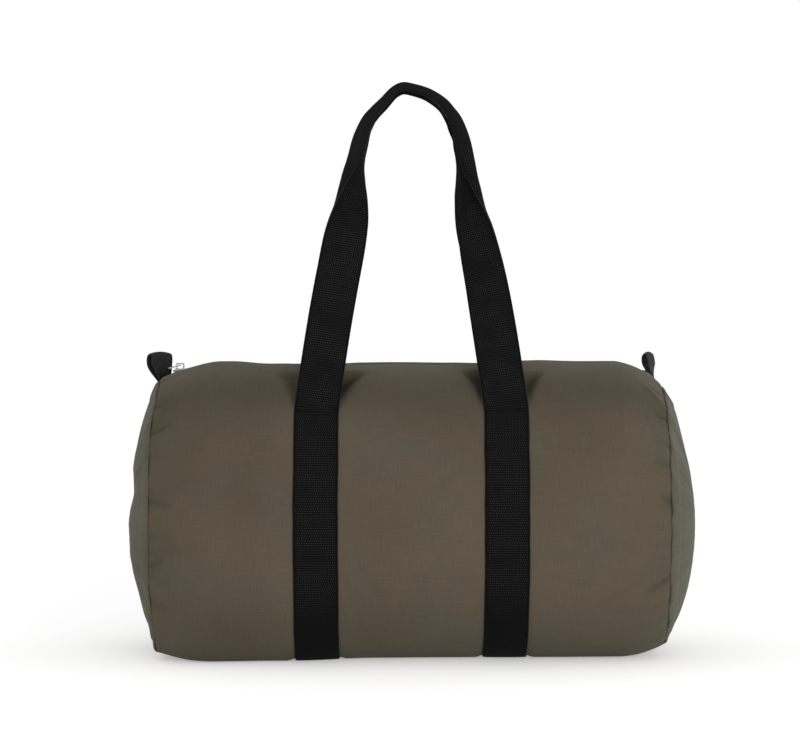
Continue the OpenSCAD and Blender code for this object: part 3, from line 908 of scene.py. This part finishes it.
def stitchGroup(material):
    tree, group = nodeGroup("stitches", {"Pitch": 0.003, "Length": 0.0024, "Width": 0.0007, "Height": 0.0005,
                                         "Unevenness": 0.12, "Seed": 4})
    ball = add(tree, "GeometryNodeMeshUVSphere", Segments=6, Rings=5, Radius=0.5).outputs[0]
    drawn = add(tree, "FunctionNodeRandomValue", data_type="FLOAT", i2=-1.0, i3=1.0, Seed=group["Seed"])
    uneven = plus(tree, times(tree, drawn.outputs[1], group["Unevenness"]), 1.0)
    size = add(tree, "ShaderNodeCombineXYZ", X=times(tree, group["Length"], uneven), Y=group["Width"],
               Z=group["Height"]).outputs[0]
    return placeAlong(tree, group, ball, material, "X", "Z", size)


def coilGroup(material):
    tree, group = nodeGroup("coil", {"Pitch": zipper["toothPitch"], "Radius": zipper["coilRadius"],
                                     "Thread": zipper["tooth"]})
    arch = add(tree, "GeometryNodeCurveArc", mode="RADIUS", Resolution=7, Radius=group["Radius"],
               **{"Start Angle": math.radians(-95), "Sweep Angle": math.radians(190)})
    wire = add(tree, "GeometryNodeCurvePrimitiveCircle", mode="RADIUS", Resolution=5, Radius=group["Thread"])
    tooth = add(tree, "GeometryNodeCurveToMesh", Curve=arch.outputs[0], i1=wire.outputs[0],
                **{"Fill Caps": True})
    return placeAlong(tree, group, tooth.outputs[0], material, "Z", "X")


def grown(path, tree, name, **values):
    # runs the node group on the path and keeps the result as a plain mesh
    modifier = path.modifiers.new("grow", "NODES")
    modifier.node_group = tree
    for item in tree.interface.items_tree:
        if item.in_out == "INPUT" and item.name in values:
            modifier[item.identifier] = values[item.name]
    evaluated = path.evaluated_get(bpy.context.evaluated_depsgraph_get())
    mesh = bpy.data.meshes.new_from_object(evaluated)
    mesh.name = name
    bpy.data.objects.remove(path)
    return newObject(name, mesh)


coils = coilGroup(coilNylon)
for side, word in ((1, "front"), (-1, "back")):
    tapePiece = zipTapePiece(word, side)
    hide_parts(word + "_zip_tape")
    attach(tapePiece, "bag")
    low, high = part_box(word + "_zip_coil")
    x = np.linspace(low[0], high[0], 90)
    middleY = -side * (zipper["gap"] / 2 + zipper["coilRadius"])
    upward = np.tile((0, 0, 1.0), (len(x), 1))
    path = pathMesh(word + "CoilPath", [(joined(x, middleY, low[2]), upward)])
    coil = grown(path, coils, word + "_coil_teeth")
    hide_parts(word + "_zip_coil")
    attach(coil, "bag")
print("zip made")


# Thread: rows along the hems of the zip and round the sewn webbing
sewing = {
    "hemRows": (0.0089, 0.0139),
    "hemReach": 0.2045,
    "edge": 0.0165,
    "topAngle": 46.8,
    "endAngle": 155,
}


def surfaceAtY(x, y):
    # angle at which the shell has this distance from the middle plane, near the top
    reach = 0.134
    a = np.abs(y) / reach
    for _ in range(6):
        a = a + (np.abs(y) - np.abs(shell(x, np.copysign(a, -y))[..., 1])) / reach
    return np.copysign(a, -y)


stitches = stitchGroup(oliveThread)
chains = []
for y in sewing["hemRows"]:
    for side in (-1, 1):
        x = np.linspace(-sewing["hemReach"], sewing["hemReach"], 160)
        chains.append(lifted(x, surfaceAtY(x, side * y + 0 * x), 0.00012, True))
path = pathMesh("hemPath", chains)
hemStitches = grown(path, stitches, "hem_stitches", Pitch=0.0031, Length=0.0025, Seed=7)
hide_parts("zip_topstitching")
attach(hemStitches, "bag")

blackStitches = stitchGroup(blackThread)
for side, word in ends:
    chains = []
    for turn in (1, -1):
        angle = np.radians(np.linspace(sewing["topAngle"], sewing["endAngle"], 120)) * turn
        for u in (-sewing["edge"], sewing["edge"]):
            x = np.full_like(angle, side * strap["x"] + u)
            chains.append(lifted(x, angle, strap["thick"] + 0.0001))
        x = side * strap["x"] + np.linspace(-sewing["edge"], sewing["edge"], 24)
        angle = np.full_like(x, math.radians(sewing["topAngle"]) * turn)
        chains.append(lifted(x, angle, strap["thick"] + 0.0004))
    path = pathMesh(word + "StrapPath", chains)
    thread = grown(path, blackStitches, word + "_strap_stitches", Pitch=0.0032, Seed=11)
    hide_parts(word + "_strap_stitching")
    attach(thread, "bag")
print("thread made")


# Tape that binds the end seams inside the bag
binding = {
    "width": 0.009,
    "thick": 0.0014,
    "x": 0.2148,
    "rimX": 0.214,
    "inset": 0.0062,   # how far inside the canvas it lies
}


def bindingBand(word, side):
    a = np.linspace(0, 2 * math.pi, 160, endpoint=False)[:, None]
    across, above = tapeOutline(binding["width"], binding["thick"], 5)
    rimX = side * binding["rimX"]
    rim = shell(rimX + 0 * (a + across), a + 0 * across)
    outward = unit(rim - np.array([rimX, 0, bag["centreZ"]]))
    rings = rim - outward * (binding["inset"] - above)[:, None]
    rings[..., 0] = side * binding["x"] + across
    rings = np.concatenate([rings, rings[:1]])
    uvs = joined(across, np.append(a, 2 * math.pi)[:, None] * endPanel["seamRadius"])
    return joinEnds(loft(word + "_seam_tape", rings, uvs, bindingTape, caps=False))


for side, word in ends:
    band = bindingBand(word, side)
    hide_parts(word + "_end_binding")
    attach(band, "bag")


# The loops of tape at the two ends of the zip
tabs = {
    "width": 0.021,
    "thick": 0.0013,
    "height": 0.0220,
    "sag": 0.0017,
    "taper": 0.016,
    "footX": 0.22104,
    "footZ": 0.2416,
    "left": [(0.03, -0.22), (0.06, 0.05), (0.12, 0.3), (0.16, 0.55), (0.18, 0.78), (0.15, 0.94), (0.05, 1),
             (-0.08, 0.98), (-0.19, 0.88), (-0.22, 0.7), (-0.17, 0.42), (-0.09, 0.12), (-0.01, -0.22)],
    "right": [(-0.24, -0.3), (-0.35, 0), (-0.42, 0.3), (-0.46, 0.6), (-0.49, 0.8), (-0.53, 0.95), (-0.6, 1),
              (-0.67, 0.94), (-0.7, 0.8), (-0.68, 0.6), (-0.61, 0.38), (-0.49, 0.14), (-0.38, -0.16)],
    "leftTwist": -56,
    "rightTwist": -22,
    "steps": 6,
}


def tabLoop(word, side):
    path = smoothPath(tabs[word], tabs["steps"]) * tabs["height"]
    across, above = tapeOutline(tabs["width"], tabs["thick"], 13)
    along = unit(np.gradient(path, axis=0))
    z = path[:, 1:]
    # the loops taper to their feet, except the rear edge of the left one, which stands upright
    tapered = np.clip((z + 0.003) / tabs["taper"], 0, 1)
    turned = np.where((across > 0) & (side < 0), smooth((z + 0.005) / 0.008), tapered)
    angle = math.radians(tabs[word + "Twist"]) * turned
    sag = tabs["sag"] * (across / tabs["width"] * 2) ** 2 * smooth(z / tabs["height"])
    out = path[:, :1] - along[:, 1:] * above
    x = out * np.cos(angle) - across * np.sin(angle)
    y = out * np.sin(angle) + across * np.cos(angle)
    rings = joined(side * tabs["footX"] + x, y, tabs["footZ"] + z - sag + along[:, :1] * above)
    return loft(word + "_tab_loop", rings, joined(across, lengthAlong(path)[:, None]), tabTape)


for side, word in ends:
    loop = tabLoop(word, side)
    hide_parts(word + "_tab")
    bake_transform(loop)
print("tabs made")


# Metal: the CAD shapes with softened edges
for word in ("zip_slider", "zip_pull", "zip_top_stops", "zip_bottom_stop"):
    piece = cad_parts[word]
    addModifier(piece, "WELD", merge_threshold=0.00001)
    addModifier(piece, "BEVEL", width=metal["edge"], segments=2, limit_method="ANGLE")
    piece.data.materials.clear()
    piece.data.materials.append(nickel)


# Floor, light and camera
studio = {
    "worldStrength": 0.52,
    "keyEnergy": 39.0,
    "keyPlace": (0.7, -2.6, 0.24),
    "keySize": 1.5,
    "floorSize": 9.0,
    "floorShade": 0.95,    # for light that falls on the bag
    "floorSeen": 1.2,      # as the camera sees it
    "floorGlow": 0.375,
    "eye": (-0.0097, -2.6, 0.315),
    "lookZ": 0.245,
    "fieldWidth": 0.704,
}


def directRays(tree):  # 1 for what the camera sees, also through gloss and glass
    rays = add(tree, "ShaderNodeLightPath").outputs
    mirrored = mathNode(tree, "MAXIMUM", rays["Is Glossy Ray"], rays["Is Transmission Ray"])
    return mathNode(tree, "MAXIMUM", rays["Is Camera Ray"], mirrored)


def floorMaterial():
    material, tree, _ = newMaterial("paleFloor")
    tree.nodes.clear()
    plain, pale = (add(tree, "ShaderNodeBsdfDiffuse", Color=(studio[key],) * 3 + (1,)).outputs[0]
                   for key in ("floorShade", "floorSeen"))
    glow = add(tree, "ShaderNodeEmission", Color=(1, 1, 1, 1), Strength=studio["floorGlow"]).outputs[0]
    bright = add(tree, "ShaderNodeAddShader", i0=pale, i1=glow).outputs[0]
    surface = add(tree, "ShaderNodeMixShader", i0=directRays(tree), i1=plain, i2=bright).outputs[0]
    add(tree, "ShaderNodeOutputMaterial", Surface=surface)
    return material


half = studio["floorSize"] / 2
corners = np.array([(-half, -half, 0), (half, -half, 0), (half, half, 0), (-half, half, 0)], dtype=float)
floor = meshObject("floor", corners, [(0, 1, 2, 3)], corners[:, :2], floorMaterial())

world = bpy.data.worlds.new("studio")
bpy.context.scene.world = world
world.use_nodes = True
tree = world.node_tree
tree.nodes.clear()
strength = plus(tree, times(tree, directRays(tree), 1 - studio["worldStrength"]), studio["worldStrength"])
sky = add(tree, "ShaderNodeBackground", Color=(1, 1, 1, 1), Strength=strength).outputs[0]
add(tree, "ShaderNodeOutputWorld", Surface=sky)


def aim(thing, target):
    step = [t - p for t, p in zip(target, thing.location)]
    flat = math.hypot(step[0], step[1])
    thing.rotation_euler = (math.pi / 2 + math.atan2(step[2], flat), 0, math.atan2(-step[0], step[1]))


keyLamp = bpy.data.lights.new("key", "AREA")
keyLamp.energy = studio["keyEnergy"]
keyLamp.size = studio["keySize"]
key = newObject("key", keyLamp)
key.location = studio["keyPlace"]
aim(key, (0, 0, 0.15))

camera = newObject("camera", bpy.data.cameras.new("camera"))
x, y, z = studio["eye"]
camera.location = (x, y, z)
aim(camera, (x, 0, studio["lookZ"]))
reach = math.hypot(y, z - studio["lookZ"])
camera.data.sensor_width = 36
camera.data.lens = 36 * reach / studio["fieldWidth"]
camera.data.clip_start, camera.data.clip_end = 0.01, 50
bpy.context.scene.camera = camera
bpy.context.scene.view_settings.view_transform = "Standard"
print("stage set")
